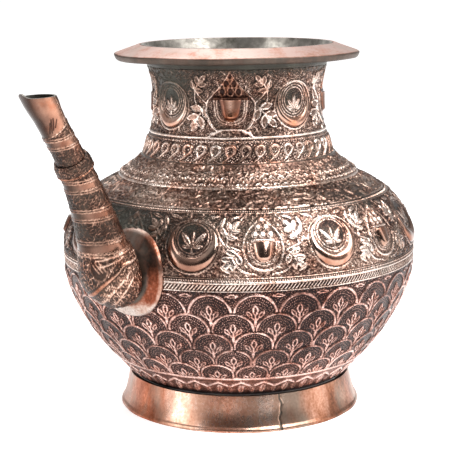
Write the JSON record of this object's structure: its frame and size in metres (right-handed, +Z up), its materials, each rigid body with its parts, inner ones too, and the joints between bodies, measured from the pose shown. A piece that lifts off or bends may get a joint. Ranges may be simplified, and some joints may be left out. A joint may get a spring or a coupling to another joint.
{
  "type": "water pot",
  "caption": "Round-bellied chased copper water pot on a splayed foot ring, with a waisted neck, a bevelled mouth ring and a slanting pouring spout.",
  "frame": {"origin": "on the ground, at the middle of the pot's length and width", "axes": "+Z up along the pot's own axis, +X away from the spout, so the spout points along -X in the XZ plane"},
  "size_m": [0.278, 0.2052, 0.21],
  "materials": {
    "chased_copper": "chased copper, dark patina in the recesses, worn bright on the relief",
    "bare_copper": "plain worn copper with grey tin smears",
    "spout_copper": "chased copper, browned, with plain polished bands"
  },
  "bodies": {
    "root": {"foot_ring": "bare_copper", "lower_bowl": "chased_copper", "upper_belly": "chased_copper", "shoulder_collar": "chased_copper", "neck_sleeve": "chased_copper", "mouth_ring": "bare_copper", "spout_plate": "bare_copper", "spout_root": "spout_copper", "spout_lower_tube": "spout_copper", "spout_collar": "spout_copper", "spout_upper_tube": "spout_copper"}
  },
  "joints": []
}
